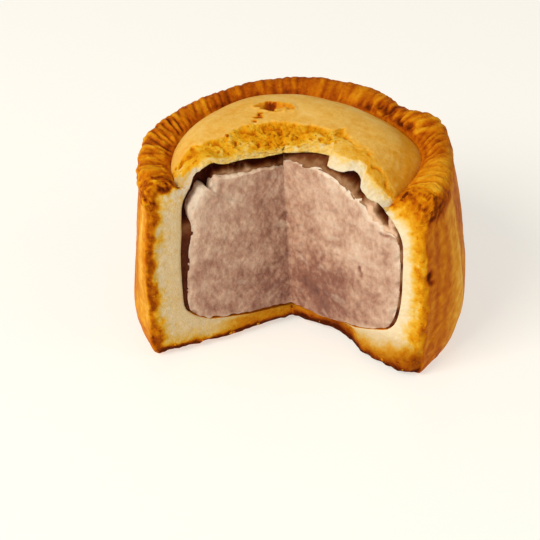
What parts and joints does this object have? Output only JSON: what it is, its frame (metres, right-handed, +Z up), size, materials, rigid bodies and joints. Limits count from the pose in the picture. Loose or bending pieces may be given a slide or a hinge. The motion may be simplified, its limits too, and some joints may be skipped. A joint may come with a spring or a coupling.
{
  "type": "pork pie",
  "caption": "Hand-raised pork pie with a wedge cut out: crimped baked crust, set jelly and a chopped pork filling.",
  "frame": {"origin": "on the pie's axis, at the foot, on the surface it stands on", "axes": "+Z up out of the lid; -Y points out of the missing wedge; +X to the right of someone who faces the wedge"},
  "size_m": [0.0805, 0.0663, 0.057],
  "materials": {
    "baked_crust": null,
    "set_jelly": null,
    "pork": null
  },
  "bodies": {
    "root": {"crust": "baked_crust", "jelly": "set_jelly", "pork_filling": "pork"}
  },
  "joints": []
}
